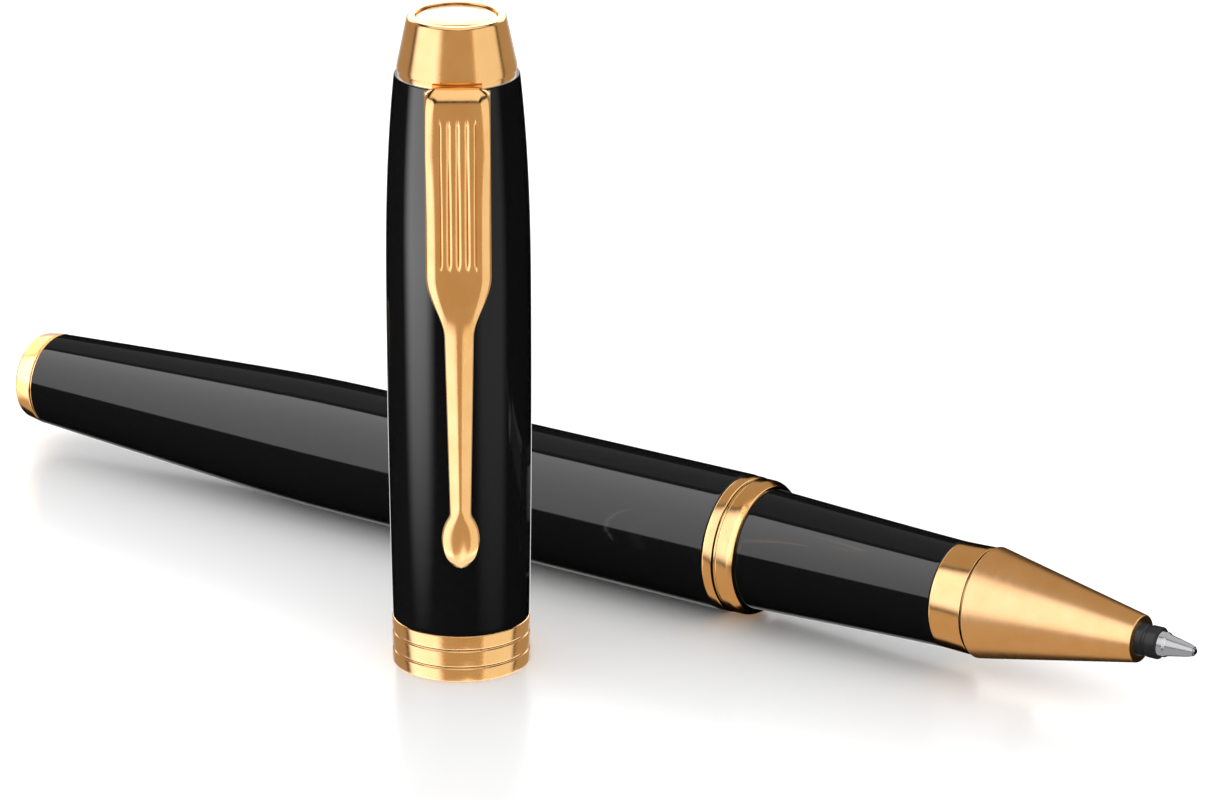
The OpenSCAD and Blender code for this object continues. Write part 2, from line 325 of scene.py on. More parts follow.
def noise(tree, stretch, scale, detail=3.0):
    """Noise in the object's own space. The scale is in lumps per millimetre, squeezed along each axis."""
    coordinates = tree.nodes.new("ShaderNodeTexCoord")
    mapping = tree.nodes.new("ShaderNodeMapping")
    mapping.inputs["Scale"].default_value = [s / MM for s in stretch]
    texture = tree.nodes.new("ShaderNodeTexNoise")
    texture.inputs["Scale"].default_value = scale
    texture.inputs["Detail"].default_value = detail
    tree.links.new(coordinates.outputs["Object"], mapping.inputs["Vector"])
    tree.links.new(mapping.outputs["Vector"], texture.inputs["Vector"])
    return texture.outputs["Fac"]


def spread(tree, pattern, low, high):
    """Maps a noise pattern to a range."""
    remap = tree.nodes.new("ShaderNodeMapRange")
    remap.inputs["From Min"].default_value = NOISE_LOW
    remap.inputs["From Max"].default_value = NOISE_HIGH
    remap.inputs["To Min"].default_value = low
    remap.inputs["To Max"].default_value = high
    tree.links.new(pattern, remap.inputs["Value"])
    return remap.outputs["Result"]


def roughen(tree, shader, pattern, low, high):
    """Varies the roughness between low and high."""
    tree.links.new(spread(tree, pattern, low, high), shader.inputs["Roughness"])


def bump(tree, shader, pattern, depth):
    """A bump as deep as the depth in millimetres."""
    node = tree.nodes.new("ShaderNodeBump")
    node.inputs["Distance"].default_value = depth * MM
    node.inputs["Strength"].default_value = 1.0
    tree.links.new(pattern, node.inputs["Height"])
    tree.links.new(node.outputs["Normal"], shader.inputs["Normal"])


def tint(tree, shader, pattern, color_a, color_b):
    """Varies the base colour between two colours."""
    share = spread(tree, pattern, 0.0, 1.0)
    mix = tree.nodes.new("ShaderNodeMix")
    mix.data_type = "RGBA"
    mix.inputs["A"].default_value = (*color_a, 1)
    mix.inputs["B"].default_value = (*color_b, 1)
    tree.links.new(share, mix.inputs["Factor"])
    tree.links.new(mix.outputs["Result"], shader.inputs["Base Color"])


# how noise is squeezed along each axis: into lines round the pen, lines round the cap, or not at all
ROUND_X = (1.0, 0.04, 0.04)
ROUND_Z = (0.04, 0.04, 1.0)
ACROSS_CLIP = (0.25, 0.25, 0.04)
STRANDS = (0.15, 1.0, 1.0)
EVEN = (1.0, 1.0, 1.0)


def lacquer():
    """Deep black lacquer: a flat clear gloss with the faintest orange peel and polishing haze."""
    black, deep_black, blue_black = (0.004, 0.004, 0.004), (0.003, 0.003, 0.003), (0.005, 0.005, 0.0055)
    material, tree, shader = new_material("black_lacquer", black, IOR=1.5)
    roughen(tree, shader, noise(tree, EVEN, scale=0.35), low=0.045, high=0.075)
    tint(tree, shader, noise(tree, EVEN, scale=6.0), deep_black, blue_black)
    bump(tree, shader, noise(tree, EVEN, scale=0.9, detail=1.0), depth=0.0006)
    return material


def gold(name, color, grain, low, high, depth):
    """Gold plate over turned brass: fine turning lines round the axis, and a slight change of tone."""
    redder = (0.96, 0.9, 0.82)
    material, tree, shader = new_material(name, color, Metallic=1.0)
    lines = noise(tree, grain, scale=9.0, detail=4.0)
    roughen(tree, shader, lines, low, high)
    warm = tuple(c * k for c, k in zip(color, redder))
    tint(tree, shader, noise(tree, EVEN, scale=0.5), color, warm)
    bump(tree, shader, lines, depth)
    return material


def steel(name, color, grain, low, high):
    """Grey metal with fine turning lines."""
    material, tree, shader = new_material(name, color, Metallic=1.0)
    lines = noise(tree, grain, scale=12.0, detail=4.0)
    roughen(tree, shader, lines, low, high)
    bump(tree, shader, lines, depth=0.0005)
    return material


def plastic(name, color, low, high, depth):
    """Moulded plastic with a fine grain."""
    lightening = 1.35
    material, tree, shader = new_material(name, color, IOR=1.49, Specular_IOR_Level=0.22)
    grain = noise(tree, EVEN, scale=7.0)
    roughen(tree, shader, grain, low, high)
    lighter = tuple(c * lightening for c in color)
    tint(tree, shader, noise(tree, EVEN, scale=1.2), color, lighter)
    bump(tree, shader, grain, depth)
    return material


def fibre():
    """Bonded fibre soaked in dark blue ink."""
    ink, wet, dry = (0.02, 0.03, 0.10), (0.01, 0.015, 0.06), (0.05, 0.07, 0.18)
    material, tree, shader = new_material("ink_fibre", ink, Roughness=0.9)
    strands = noise(tree, STRANDS, scale=14.0, detail=5.0)
    tint(tree, shader, strands, wet, dry)
    bump(tree, shader, strands, depth=0.03)
    return material


POLISHED, SATIN, BRASSY = (0.94, 0.575, 0.24), (0.94, 0.575, 0.25), (0.72, 0.50, 0.22)
STEEL_GREY, CARBIDE_GREY, TUBE_GREY = (0.60, 0.60, 0.61), (0.42, 0.42, 0.44), (0.60, 0.61, 0.63)
PLASTIC_BLACK, LINER_BLACK = (0.012, 0.012, 0.013), (0.030, 0.030, 0.032)

LACQUER = lacquer()
PEN_GOLD = gold("polished_gold_pen", POLISHED, ROUND_X, low=0.13, high=0.19, depth=0.0004)
CAP_GOLD = gold("polished_gold_cap", POLISHED, ROUND_Z, low=0.13, high=0.19, depth=0.0004)
CLIP_GOLD = gold("polished_gold_clip", POLISHED, ACROSS_CLIP, low=0.12, high=0.19, depth=0.0006)
SATIN_GOLD = gold("satin_gold", SATIN, ROUND_X, low=0.28, high=0.36, depth=0.0009)
BRASS = gold("thread_brass", BRASSY, ROUND_X, low=0.25, high=0.40, depth=0.003)
STEEL = steel("turned_steel", STEEL_GREY, ROUND_X, low=0.16, high=0.30)
CAP_STEEL = steel("cap_steel", STEEL_GREY, ROUND_Z, low=0.18, high=0.32)
CARBIDE = steel("carbide_ball", CARBIDE_GREY, EVEN, low=0.10, high=0.18)
TUBE_METAL = steel("refill_metal", TUBE_GREY, ROUND_X, low=0.25, high=0.38)
BLACK_PLASTIC = plastic("black_plastic", PLASTIC_BLACK, low=0.25, high=0.40, depth=0.004)
LINER_PLASTIC = plastic("liner_plastic", LINER_BLACK, low=0.45, high=0.60, depth=0.010)
FIBRE = fibre()


# ---------------------------------------------------------------- the pen

# radii that several pieces share: the refill's bore, the coupler's grip, the collar's spigot, the tip's shank
BORE_R = 3.4
GRIP_R = 4.2
SPIGOT_R = 4.0
SHANK_R = 0.95

LACQUER_EDGE = 0.12
TAIL_RING_FLOOR = 0.6
TUBE_SIDES = 160
TIP_SIDES = 96


def barrel_tube():
    first, last, _ = PEN.reach("barrel_tube")
    bush_at, _, bush_r = PEN.reach("barrel_bush")
    seat_at, _, seat_r = PEN.reach("spring_seat")
    stem_r = 2.0
    outside = smooth(cad_outline(PEN, "barrel_tube"))
    mouth_r, tail_r = outside[-1].y, outside[0].y
    inside = rounded([
        (last, mouth_r, LACQUER_EDGE), (last, bush_r, 0.05), (bush_at, bush_r, 0), (bush_at, seat_r, 0),
        (seat_at, seat_r, 0), (seat_at, stem_r, 0), (first, stem_r, 0), (first, tail_r, LACQUER_EDGE)])
    outline = [p for p in outside if first + LACQUER_EDGE < p.x < last - LACQUER_EDGE] + inside
    lathe("barrel_tube_finish", PEN, outline, "barrel", "black_lacquer", LACQUER, ["barrel_tube"],
          sides=TUBE_SIDES)


def tail_ring():
    """The gold ring at the tail: a rounded end, and a fine step where it meets the barrel."""
    first, last, radius = PEN.reach("tail_ring")
    plug_r = PEN.reach("tail_plug")[2] + 0.05
    floor_at = last - TAIL_RING_FLOOR
    stem_r = 2.0
    step_r = radius - 0.16
    outline = rounded([
        (first, radius - 0.3, 0.28), (last - 0.22, radius, 0.10), (last - 0.12, step_r, 0.03),
        (last, step_r, 0), (last, stem_r, 0), (floor_at, stem_r, 0), (floor_at, plug_r, 0),
        (first, plug_r, 0.16)])
    lathe("tail_ring_finish", PEN, outline, "barrel", "polished_gold", PEN_GOLD, ["tail_ring"])


def tail_plug():
    """The black plug in the ring: a low dome outside, and a stem into the barrel."""
    first, last, radius = PEN.reach("tail_plug")
    floor_at = PEN.reach("tail_ring")[1] - TAIL_RING_FLOOR
    stem_r = 1.95
    rise = 0.12
    turns = [QUARTER * i / 12 for i in range(11)]
    dome = [Vector((first - rise * math.cos(a) + rise, radius * math.sin(a))) for a in turns]
    outline = dome[:-1] + rounded([
        (*dome[-1], 0), (first + 0.14, radius, 0.08), (floor_at, radius, 0), (floor_at, stem_r, 0),
        (last, stem_r, 0.3), (last, 0, 0)])
    lathe("tail_plug_finish", PEN, outline, "barrel", "black_lacquer", LACQUER, ["tail_plug"])


def tail_spring():
    """A coil between its seat and the refill's end plug."""
    first, last, outer_r = PEN.reach("tail_spring")
    wire_r, turns, steps, sides = 0.25, 6, 48, 12
    coil_r = outer_r - wire_r
    low, high = first + wire_r, last - wire_r
    count = turns * steps
    mesh = bmesh.new()
    rows = []
    for i in range(count + 1):
        station = low + (high - low) * i / count
        ring = []
        for k in range(sides):
            around = TURN * k / sides
            along, out = wire_r * math.sin(around), wire_r * math.cos(around)
            ring.append(mesh.verts.new(PEN.point(station + along, coil_r + out, TURN * i / steps)))
        rows.append(ring)
    skin(mesh, rows, closed_rows=False)
    mesh.faces.new(rows[0])
    mesh.faces.new(rows[-1])
    spring = finish_mesh(mesh, "tail_spring_finish", "barrel", "steel", STEEL, ["tail_spring"])
    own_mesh(spring)


def centre_ring():
    """The ring between barrel and section: a narrow rib, a groove and a wide rib that steps down."""
    first, last, radius = PEN.reach("centre_ring")
    bore = 4.55
    groove_at = first + (last - first) * 0.36
    groove_r = radius - 0.26
    outline = rounded([
        (first, radius - 0.02, 0.16), (groove_at - 0.1, radius, 0.16), (groove_at, groove_r, 0.04),
        (groove_at + 0.2, groove_r, 0.04), (groove_at + 0.3, radius - 0.05, 0.14),
        (last - 0.62, radius - 0.06, 0.18), (last, radius - 0.42, 0.12), (last, bore, 0), (first, bore, 0)])
    lathe("centre_ring_finish", PEN, outline, "centre_ring", "polished_gold", PEN_GOLD, ["centre_ring"])


def section_tube():
    first, last, _ = PEN.reach("section_tube")
    outside = smooth(cad_outline(PEN, "section_tube"))
    coupler_end, collar_start = first + 7, last - 6
    inside = rounded([
        (last, outside[-1].y, LACQUER_EDGE), (last, SPIGOT_R, 0), (collar_start, SPIGOT_R, 0),
        (collar_start, BORE_R, 0), (coupler_end, BORE_R, 0), (coupler_end, GRIP_R, 0), (first, GRIP_R, 0),
        (first, outside[0].y, LACQUER_EDGE)])
    outline = [p for p in outside if first + LACQUER_EDGE < p.x < last - LACQUER_EDGE] + inside
    lathe("section_tube_finish", PEN, outline, "section", "black_lacquer", LACQUER, ["section_tube"],
          sides=TUBE_SIDES)


def section_coupler():
    """The threaded ferrule. Its crests stay inside the CAD's plain thread cylinder."""
    first, last, thread_r = PEN.reach("section_coupler")
    section_at = PEN.reach("section_tube")[0]
    turns = 8
    pitch = joint("section_out")["range_m"][1] / MM / turns
    depth = 0.32
    crest = 0.8
    rows_per_pitch = 10
    thread_end = PEN.reach("centre_ring")[0] - 0.2
    count = int((thread_end - first) / pitch * rows_per_pitch)
    threaded = [Vector((first + pitch * i / rows_per_pitch, thread_r)) for i in range(1, count)]

    def thread(station, angle):
        """How deep the thread cuts. It fades out at both ends, into a plain neck."""
        if not first + 0.01 < station < thread_end:
            return 0.0
        fade = ease(first, first + pitch, station) * (1 - ease(thread_end - pitch / 2, thread_end, station))
        turn = (station - first) / pitch - angle / TURN
        return -depth * (1 - fade) * 0.6 - depth * fade * (0.5 - 0.5 * math.cos(TURN * turn)) ** crest

    outline = [Vector((first, thread_r - 0.3))] + threaded + rounded([
        (thread_end, thread_r, 0.05), (section_at, thread_r, 0), (section_at, GRIP_R, 0), (last, GRIP_R, 0.1),
        (last, BORE_R, 0), (first, BORE_R, 0)])
    lathe("section_coupler_finish", PEN, outline, "section", "thread_brass", BRASS, ["section_coupler"],
          sides=TIP_SIDES, wave=thread)


def nose_collar():
    first, last, front_r = PEN.reach("nose_collar")
    section_end = PEN.reach("section_tube")[1]
    back_r = cad_outline(PEN, "section_tube")[-1].y
    seat_at = PEN.reach("nose_cone")[0]
    outline = rounded([
        (first, SPIGOT_R, 0), (section_end, SPIGOT_R, 0), (section_end + 0.02, back_r, 0.12),
        (section_end + 1.0, back_r + 0.02, 0.5), (last, front_r, 0.16), (last, SPIGOT_R, 0),
        (seat_at, SPIGOT_R, 0), (seat_at, BORE_R, 0), (first, BORE_R, 0)])
    lathe("nose_collar_finish", PEN, outline, "section", "polished_gold", PEN_GOLD, ["nose_collar"])


def nose_cone():
    seat_at, front_at, base_r = PEN.reach("nose_cone")
    cone_at = PEN.reach("nose_collar")[1] + 0.25
    stop_at = cone_at + 3.3
    neck_end = cone_at + 12
    end_r = 2.03
    neck_bore, tip_bore = 2.0, 1.45
    outline = rounded([
        (seat_at, SPIGOT_R, 0), (cone_at, SPIGOT_R, 0), (cone_at, base_r, 0.12),
        (front_at - 0.02, end_r + 0.04, 0.14), (front_at, tip_bore, 0.06), (neck_end, tip_bore, 0),
        (neck_end, neck_bore, 0), (stop_at, neck_bore, 0), (stop_at, BORE_R, 0), (seat_at, BORE_R, 0)])
    lathe("nose_cone_finish", PEN, outline, "section", "satin_gold", SATIN_GOLD, ["nose_cone"])


def refill_collar():
    """The refill's black collar, with a fine groove where it stands out of the cone."""
    first, last, radius = PEN.reach("refill_collar")
    tip_root = PEN.reach("refill_tip")[0]
    cone_front = PEN.reach("nose_cone")[1]
    wick_bore = 0.75
    groove_r = radius - 0.12
    outline = rounded([
        (first, radius, 0), (cone_front + 0.5, radius, 0.05), (cone_front + 0.62, groove_r, 0.04),
        (cone_front + 0.8, groove_r, 0.04), (cone_front + 0.92, radius, 0.05), (last, radius, 0.16),
        (last, SHANK_R, 0), (tip_root, SHANK_R, 0), (tip_root, wick_bore, 0), (first, wick_bore, 0)])
    lathe("refill_collar_finish", PEN, outline, "refill", "black_plastic", BLACK_PLASTIC, ["refill_collar"],
          sides=TIP_SIDES)


def refill_tip():
    """The steel tip: a shoulder, a cone and the socket that holds the ball."""
    tip_root, lip_at, shoulder_r = PEN.reach("refill_tip")
    collar_end = PEN.reach("refill_collar")[1]
    ball_back, _, ball_r = PEN.reach("refill_ball")
    ball_at = ball_back + ball_r
    channel = 0.25
    outline = rounded([
        (tip_root, SHANK_R, 0), (collar_end, SHANK_R, 0), (collar_end, shoulder_r, 0.08),
        (collar_end + 0.5, shoulder_r, 0.08), (collar_end + 0.75, SHANK_R, 0.1),
        (lip_at - 0.5, ball_r + 0.22, 0.12), (lip_at, ball_r + 0.06, 0.03), (lip_at, ball_r + 0.005, 0),
        (ball_at, ball_r + 0.02, 0), (ball_at - 0.3, channel, 0), (tip_root, channel, 0)])
    lathe("refill_tip_finish", PEN, outline, "refill", "steel", STEEL, ["refill_tip"], sides=TIP_SIDES)


# ---------------------------------------------------------------- the cap

# radii that several pieces share: the cap's mouth, the seat of its band, and its screw's hole
MOUTH_R = 5.5
WRAP_R = 5.72
SCREW_R = 1.65


def cap_tube():
    lip, last, _ = CAP.reach("cap_tube")
    band_top = CAP.reach("cap_band")[1]
    outside = smooth([p for p in cad_outline(CAP, "cap_tube") if p.x > band_top - 0.01])
    edge = 0.14
    groove_r, liner_r, step_r = 5.72, 5.3, 4.9
    groove_at, groove_end, step_at, shoulder_at = 6.5, 9.0, 44.0, 50.0
    inside = rounded([
        (last, outside[-1].y, edge), (last, SCREW_R, 0), (shoulder_at, SCREW_R, 0), (shoulder_at, step_r, 0),
        (step_at, step_r, 0), (step_at, liner_r, 0), (groove_end, liner_r, 0), (groove_end, groove_r, 0),
        (groove_at, groove_r, 0), (groove_at, MOUTH_R, 0), (lip, MOUTH_R, 0.05), (lip, WRAP_R, 0),
        (band_top, WRAP_R, 0), (band_top, outside[0].y, 0.06)])
    outline = [p for p in outside if band_top + 0.1 < p.x < last - edge] + inside
    lathe("cap_tube_finish", CAP, outline, "cap", "black_lacquer", LACQUER, ["cap_tube"], sides=TUBE_SIDES)


def cap_band():
    """The gold band at the mouth: three soft ribs with two grooves between them."""
    first, last, radius = CAP.reach("cap_band")
    lip = 0.6
    groove_r, half = radius - 0.17, 0.16
    corners = [(first, MOUTH_R, 0.04), (first, radius, 0.16)]
    for share in (0.3, 0.68):
        at = first + (last - first) * share
        corners += [(at - half, radius, 0.09), (at, groove_r, 0.08), (at + half, radius, 0.09)]
    corners += [(last, radius, 0.16), (last, WRAP_R, 0), (lip, WRAP_R, 0), (lip, MOUTH_R, 0)]
    lathe("cap_band_finish", CAP, rounded(corners), "cap", "polished_gold", CAP_GOLD, ["cap_band"],
          sides=TUBE_SIDES)


CROWN_DISC_R = 3.45


def cap_crown():
    """The tapered crown, with a recess in its top for the disc and a hole for the screw."""
    first, last, base_r = CAP.reach("cap_crown")
    top_r = 4.2
    rim_r = CROWN_DISC_R + 0.04
    recess_at, hole_end = last - 0.6, last - 1.4
    outline = rounded([
        (hole_end, 0, 0), (hole_end, SCREW_R, 0), (first, SCREW_R, 0), (first, base_r, 0.13),
        (first + 0.4, base_r - 0.04, 0.1), (last, top_r - 0.02, 0.34), (last, rim_r, 0.1),
        (recess_at, rim_r, 0), (recess_at, 0, 0)])
    lathe("cap_crown_finish", CAP, outline, "cap", "polished_gold", CAP_GOLD, ["cap_crown"],
          sides=TUBE_SIDES)


def crown_disc():
    """The disc in the crown's top, very slightly domed."""
    low, high, _ = CAP.reach("crown_disc")
    rim = rounded([(low, CROWN_DISC_R, 0), (high - 0.06, CROWN_DISC_R, 0.12)])
    dome = [(high, CROWN_DISC_R * 0.86), (high + 0.02, CROWN_DISC_R * 0.5), (high + 0.03, 0)]
    outline = [Vector((low, 0))] + rim + [Vector(p) for p in dome]
    lathe("crown_disc_finish", CAP, outline, "cap", "polished_gold", CAP_GOLD, ["crown_disc"])


# ---------------------------------------------------------------- the clip

# In the side view, x is the distance out from the cap's axis and y is the height up the cap
CLIP_ROOT = Vector((6.05, joint("clip_flex")["pos_m"][2] / MM))
KNUCKLE_R = 0.42
KNUCKLE_TURNS = [QUARTER * (1 - i / 8) for i in range(8)]
FACE_OUT = 8.2
BACK_OUT = FACE_OUT - 0.9
CAP_OUT = CAP.reach("cap_band")[2] + 0.1
PLATE_LOW, STEM_HIGH, STEM_LOW = 37.4, 32.0, 15.6
PAD_HALF = 2.6
PAD_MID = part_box("clip")[0].z / MM + PAD_HALF
PAD_TOP = PAD_MID + PAD_HALF
PAD_TURNS = [QUARTER * i / 40 for i in range(1, 41)]
SHOULDER_STEPS, PLATE_STEPS, STEM_STEPS = 22, 34, 70

# Across the clip, half widths are in millimetres, and v runs from -1 to 1
HALF_PLATE, HALF_STEM, HALF_PAD = 2.75, 0.875, 1.6
REEDED, BEVEL_FROM, EDGE_FROM = 0.56, 0.64, 0.90
REED_SHARE, REED_R = 0.28, 0.48
RELIEF = 0.46


def clip_front():
    """The side view's front, from the root over the shoulder, the plate and the stem to the pad's tip."""
    root = CLIP_ROOT
    curve = [root + Vector((-math.sin(a), math.cos(a))) * KNUCKLE_R for a in KNUCKLE_TURNS]
    curve += bend((root.x, root.y + KNUCKLE_R), (FACE_OUT - 0.1, root.y + 0.35), (FACE_OUT, PLATE_LOW + 11),
                  SHOULDER_STEPS)
    curve += bend((FACE_OUT, PLATE_LOW + 10.6), (FACE_OUT, PLATE_LOW + 5), (FACE_OUT, PLATE_LOW), PLATE_STEPS)
    curve += bend((FACE_OUT, PLATE_LOW - 0.3), (FACE_OUT - 0.15, STEM_HIGH - 4), (CAP_OUT + 1.22, PAD_TOP),
                  STEM_STEPS)
    for a in PAD_TURNS:
        out = CAP_OUT + 0.42 + 0.80 * math.cos(a) ** 0.8
        curve.append(Vector((out, PAD_TOP - 2 * PAD_HALF * math.sin(a))))
    return curve


def clip_back():
    """The side view's back, with a point for each of the front's."""
    root = CLIP_ROOT
    curve = [root + Vector((-math.sin(a), -math.cos(a))) * KNUCKLE_R for a in KNUCKLE_TURNS]
    curve += bend((root.x, root.y - KNUCKLE_R), (BACK_OUT - 0.1, root.y - 0.6), (BACK_OUT, PLATE_LOW + 10),
                  SHOULDER_STEPS)
    curve += bend((BACK_OUT, PLATE_LOW + 9.7), (BACK_OUT, PLATE_LOW + 5), (BACK_OUT, PLATE_LOW), PLATE_STEPS)
    curve += bend((BACK_OUT, PLATE_LOW - 0.3), (BACK_OUT - 0.05, STEM_HIGH - 4),
                  (CAP_OUT + 0.30, PAD_TOP + 0.3), STEM_STEPS)
    for a in PAD_TURNS:
        hollow = 0.22 * (1 - math.sin(a)) + 0.25 * ease(0.9, 1.0, math.sin(a))
        curve.append(Vector((CAP_OUT + 0.08 + hollow, PAD_TOP - (2 * PAD_HALF - 0.03) * math.sin(a))))
    return curve


def clip_half_width(z):
    """Half the clip's width at a height: the plate narrows to the stem, which flows into the pad."""
    flow = 0.12
    stem = HALF_STEM + 0.35 * max(0.0, z - STEM_LOW) / (STEM_HIGH - STEM_LOW)
    pad = HALF_PAD * math.sqrt(max(0.0, 1 - ((z - PAD_MID) / PAD_HALF) ** 2))
    if z <= PAD_MID:
        return pad
    wider = (stem + pad + math.sqrt((stem - pad) ** 2 + flow**2)) / 2
    return wider + (HALF_PLATE - wider) * ease(STEM_HIGH, PLATE_LOW, z)


def reed(v):
    """Four round reeds side by side down the middle of the plate."""
    if abs(v) >= REEDED:
        return 0.0
    off_middle = ((v / REED_SHARE) % 1 - 0.5) * REED_SHARE * HALF_PLATE
    return REED_R - math.sqrt(REED_R**2 - off_middle**2)


def clip_relief(v, z):
    """How far the front stands back from the side view, at v across the width and at a height."""
    plate = ease(33.0, 37.0, z)
    pad = 1 - ease(15.4, 16.6, z)
    stem = (1 - plate) * (1 - pad)
    reeds = plate * ease(37.6, 38.8, z) * (1 - ease(50.4, 51.2, z)) * reed(v)
    bevel = RELIEF * max(0.0, (abs(v) - BEVEL_FROM) / (1 - BEVEL_FROM)) ** 1.5
    ridge = RELIEF * (math.sqrt(v * v + 0.02) - 0.14)
    dome = RELIEF * v * v
    t = max(0.0, (abs(v) - EDGE_FROM) / (1 - EDGE_FROM))
    edge = 1 - math.sqrt(max(0.0, 1 - t * t))
    edge_depth = 0.20 * plate + 0.18 * stem + 0.25 * pad
    return reeds + plate * bevel + stem * ridge + pad * dome + edge * edge_depth


def clip_columns(inner_count=48, outer_count=14):
    """Places across the clip from -1 to 1: even over the reeds, and closer towards the edges."""
    inner = [-REEDED + 2 * REEDED * i / inner_count for i in range(inner_count + 1)]
    shares = [math.sin(QUARTER * i / outer_count) for i in range(1, outer_count + 1)]
    outer = [REEDED + (1 - REEDED) * share for share in shares]
    return [-v for v in reversed(outer)] + inner + outer


def clip():
    """The clip: a reeded plate at the top, a ridged stem and an oval pad, swept along its length."""
    front_columns = clip_columns()
    back_columns = front_columns[4:-4:8]
    mesh = bmesh.new()
    rows = []
    for front, back in zip(clip_front(), clip_back()):
        thickness = (front - back).length
        out = (front - back) / max(thickness, 1e-6)
        z = (front.y + back.y) / 2
        half = max(clip_half_width(z), 0.02)
        row = []
        for v in front_columns:
            p = front - out * min(clip_relief(v, z), thickness * 0.8)
            row.append(mesh.verts.new(CAP.place(p.x, half * v, p.y)))
        for v in reversed(back_columns):
            p = back + out * 0.1 * thickness * v**4
            row.append(mesh.verts.new(CAP.place(p.x, half * v * 0.97, p.y)))
        rows.append(row)
    skin(mesh, rows, closed_rows=False)
    mesh.faces.new(rows[0])
    mesh.faces.new(rows[-1])
    finish_mesh(mesh, "clip_finish", "clip", "polished_gold", CLIP_GOLD, ["clip"])


# ---------------------------------------------------------------- all the pieces


def dress(material, *names):
    """Gives CAD nodes a better material."""
    for name in names:
        data = frame["nodes"][name].data
        data.materials.clear()
        data.materials.append(material)


barrel_tube()
tail_ring()
tail_plug()
tail_spring()
centre_ring()
section_tube()
section_coupler()
nose_collar()
nose_cone()
refill_collar()
refill_tip()
cap_tube()
cap_band()
cap_crown()
crown_disc()
clip()

dress(BRASS, "barrel_bush", "spring_seat")
dress(CAP_STEEL, "clutch_ring", "cap_screw")
dress(CARBIDE, "refill_ball")
dress(TUBE_METAL, "refill_tube")
dress(BLACK_PLASTIC, "refill_end_plug", "refill_nose")
dress(LINER_PLASTIC, "inner_cap")
dress(FIBRE, "ink_reservoir", "ink_feed")
dress(CAP_GOLD, "clip_washer")


# ---------------------------------------------------------------- camera


def camera():
    """The viewing angle is 20 degrees above the table, from the nose's side, through a long lens."""
    from_cap = Vector((0.3013, -0.4275, 0.2140))
    looking = Vector((-0.52304, 0.78067, -0.34202))
    data = bpy.data.cameras.new("camera")
    data.lens = 193.7
    data.sensor_width = 36.0
    shot = bpy.data.objects.new("camera", data)
    bpy.context.scene.collection.objects.link(shot)
    shot.location = CAP.start + from_cap
    shot.rotation_mode = "QUATERNION"
    shot.rotation_quaternion = looking.to_track_quat("-Z", "Y")
    data.clip_start, data.clip_end = 0.01, 20
    bpy.context.scene.camera = shot


# ---------------------------------------------------------------- groups of pieces that lights are aimed at

PEN_BODIES = ("barrel", "centre_ring", "section", "refill", "ball")
CAP_BODIES = ("cap", "clip")
GILT_SLOTS = ("polished_gold", "satin_gold", "thread_brass")
GILT_NODES = ("barrel_bush", "spring_seat", "clip_washer")
STEEL_SLOTS = ("steel", "carbide", "refill_metal")
STEEL_NODES = ("clutch_ring", "cap_screw", "refill_ball", "refill_tube")


def rides(piece, bodies):
    return any(body in bodies for body in body_of(piece) or [])


def gilt(piece):
    return piece.get("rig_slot") in GILT_SLOTS or piece.name in GILT_NODES


def steely(piece):
    return piece.get("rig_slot") in STEEL_SLOTS or piece.name in STEEL_NODES


def bright(piece):
    return gilt(piece) or steely(piece)


def group(name, wanted):
    """A collection of the shown pieces that pass a test, for lights that are aimed at them alone."""
    found = bpy.data.collections.new(name)
    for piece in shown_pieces():
        if wanted(piece):
            found.objects.link(piece)
    return found


# ---------------------------------------------------------------- softboxes

UP = Vector((0, 0, 1))
TO_CAMERA = Vector((0.5566, -0.8308, 0.0))
TO_RIGHT = Vector((0.8308, 0.5566, 0.0))
WHITE = (1.0, 1.0, 1.0)
COOL = (0.95, 0.96, 1.18)
WARM = (1.0, 0.80, 0.60)


def ramp(tree, value, low, high, out_low=0.0, out_high=1.0):
    """A smooth step from one value to another."""
    node = tree.nodes.new("ShaderNodeMapRange")
    node.interpolation_type = "SMOOTHSTEP"
    node.inputs["From Min"].default_value = low
    node.inputs["From Max"].default_value = high
    node.inputs["To Min"].default_value = out_low
    node.inputs["To Max"].default_value = out_high
    tree.links.new(value, node.inputs["Value"])
    return node.outputs["Result"]


def product(tree, values):
    """The product of several node outputs."""
    total = values[0]
    for value in values[1:]:
        node = tree.nodes.new("ShaderNodeMath")
        node.operation = "MULTIPLY"
        tree.links.new(total, node.inputs[0])
        tree.links.new(value, node.inputs[1])
        total = node.outputs["Value"]
    return total


def dim_edges(tree, fade, low_share):
    """Dims a softbox towards its edges, and from its upper edge to its lower one."""
    place = tree.nodes.new("ShaderNodeNewGeometry")
    split = tree.nodes.new("ShaderNodeSeparateXYZ")
    tree.links.new(place.outputs["Parametric"], split.inputs["Vector"])
    shares = []
    for socket, soft in zip(("X", "Y"), fade):
        shares.append(ramp(tree, split.outputs[socket], 0.0, soft))
        shares.append(ramp(tree, split.outputs[socket], 1.0 - soft, 1.0, 1.0, 0.0))
    shares.append(ramp(tree, split.outputs["Y"], 0.0, 1.0, low_share, 1.0))
    tree.links.new(product(tree, shares), tree.nodes["Emission"].inputs["Strength"])


